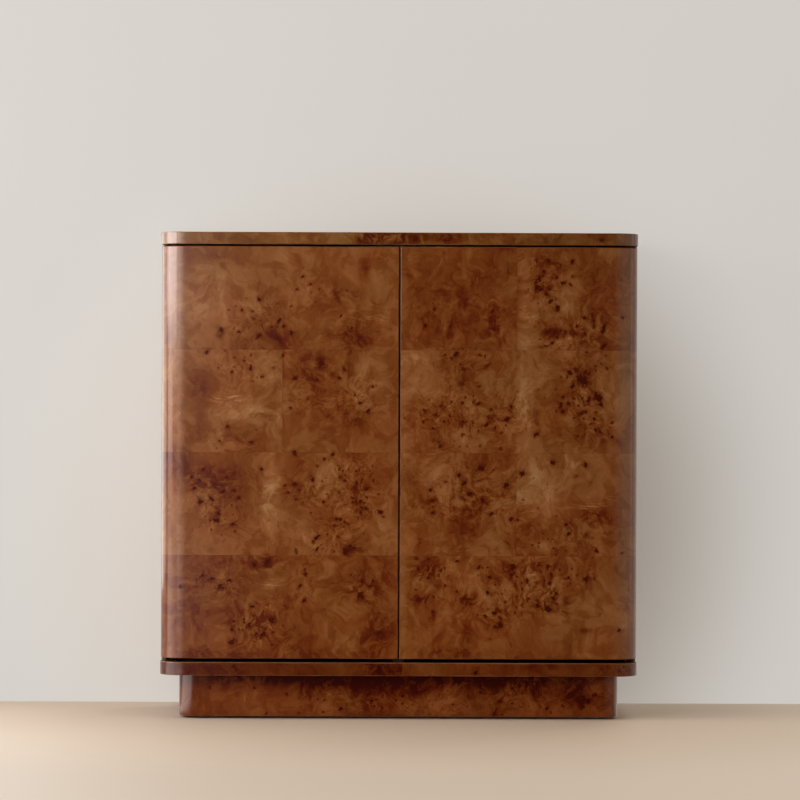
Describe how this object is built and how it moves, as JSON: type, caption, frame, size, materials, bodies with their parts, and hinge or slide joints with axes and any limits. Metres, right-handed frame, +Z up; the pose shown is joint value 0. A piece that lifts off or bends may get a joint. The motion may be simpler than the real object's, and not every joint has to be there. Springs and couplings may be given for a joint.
{
  "type": "bar armoire",
  "caption": "Low bar cabinet in burl veneer with rounded doors that wrap the front corners, a recessed plinth, a bottle rack, glass rails and bottle racks in the doors.",
  "frame": {"origin": "on the floor under the middle of the cabinet's footprint", "axes": "+X to the right seen from the front, +Y from the front to the back, +Z up"},
  "size_m": [1.016, 0.457, 1.035],
  "materials": {
    "burl_veneer": "lacquered burl veneer, semi-gloss",
    "plinth_veneer": "lacquered burl veneer, semi-gloss, dark",
    "interior_veneer": "straight-grained veneer, satin",
    "hardwood": "solid hardwood, satin",
    "brass": "satin brass",
    "steel": "zinc-plated steel",
    "black_plastic": "moulded black plastic",
    "foot_plastic": "moulded black plastic on a threaded stem",
    "rubber": "soft clear-brown bumper"
  },
  "bodies": {
    "case": {"top_panel": "burl_veneer", "bottom_panel": "burl_veneer", "left_side_panel": "burl_veneer", "right_side_panel": "burl_veneer", "back_panel": "interior_veneer", "back_panel_screws": "steel", "centre_partition": "interior_veneer", "carcass_dowels": "hardwood", "left_fixed_shelf": "interior_veneer", "right_fixed_shelf": "interior_veneer", "left_adjustable_shelf": "interior_veneer", "right_adjustable_shelf": "interior_veneer", "shelf_pins": "brass", "glass_rails": "hardwood", "glass_rail_screws": "brass", "bottle_rack_uprights": "hardwood", "bottle_rack_shelves": "hardwood", "pivot_frame_plates": "brass", "pivot_frame_screws": "brass", "pivot_pins": "steel", "pivot_collars": "brass", "latch_bodies": "black_plastic", "latch_screws": "steel", "door_bumpers": "rubber", "plinth_front_rail": "plinth_veneer", "plinth_back_rail": "plinth_veneer", "plinth_left_rail": "plinth_veneer", "plinth_right_rail": "plinth_veneer", "plinth_left_corner": "plinth_veneer", "plinth_right_corner": "plinth_veneer", "plinth_braces": "hardwood", "plinth_screws": "steel", "foot_inserts": "steel"},
    "left_door": {"left_door_panel": "burl_veneer", "left_door_corner": "burl_veneer", "left_door_spline": "hardwood", "left_door_pivot_plates": "brass", "left_door_pivot_screws": "brass", "left_door_strike": "steel", "left_door_rack_bases": "hardwood", "left_door_rack_ends": "hardwood", "left_door_rack_rails": "brass", "left_door_rack_dowels": "hardwood"},
    "left_plunger": {"left_latch_plunger": "black_plastic"},
    "right_door": {"right_door_panel": "burl_veneer", "right_door_corner": "burl_veneer", "right_door_spline": "hardwood", "right_door_pivot_plates": "brass", "right_door_pivot_screws": "brass", "right_door_strike": "steel", "right_door_rack_bases": "hardwood", "right_door_rack_ends": "hardwood", "right_door_rack_rails": "brass", "right_door_rack_dowels": "hardwood"},
    "right_plunger": {"right_latch_plunger": "black_plastic"},
    "front_left_foot_screw": {"front_left_foot": "foot_plastic"},
    "front_right_foot_screw": {"front_right_foot": "foot_plastic"},
    "back_left_foot_screw": {"back_left_foot": "foot_plastic"},
    "back_right_foot_screw": {"back_right_foot": "foot_plastic"}
  },
  "joints": [
    {"name": "left_door_swing", "type": "hinge", "parent": "case", "child": "left_door", "pos_m": [-0.4955, -0.177, 0.5675], "axis": [0, 0, -1], "range_deg": [0, 95]},
    {"name": "right_door_swing", "type": "hinge", "parent": "case", "child": "right_door", "pos_m": [0.4955, -0.177, 0.5675], "axis": [0, 0, 1], "range_deg": [0, 95]},
    {"name": "left_latch_press", "type": "slide", "parent": "case", "child": "left_plunger", "axis": [0, 1, 0], "range_m": [0, 0.003], "stiffness_N_per_m": 600, "springref_m": -0.004},
    {"name": "right_latch_press", "type": "slide", "parent": "case", "child": "right_plunger", "axis": [0, 1, 0], "range_m": [0, 0.003], "stiffness_N_per_m": 600, "springref_m": -0.004},
    {"name": "front_left_foot_height", "type": "slide", "parent": "case", "child": "front_left_foot_screw", "axis": [0, 0, 1], "range_m": [-0.01, 0.004]},
    {"name": "front_right_foot_height", "type": "slide", "parent": "case", "child": "front_right_foot_screw", "axis": [0, 0, 1], "range_m": [-0.01, 0.004]},
    {"name": "back_left_foot_height", "type": "slide", "parent": "case", "child": "back_left_foot_screw", "axis": [0, 0, 1], "range_m": [-0.01, 0.004]},
    {"name": "back_right_foot_height", "type": "slide", "parent": "case", "child": "back_right_foot_screw", "axis": [0, 0, 1], "range_m": [-0.01, 0.004]}
  ]
}
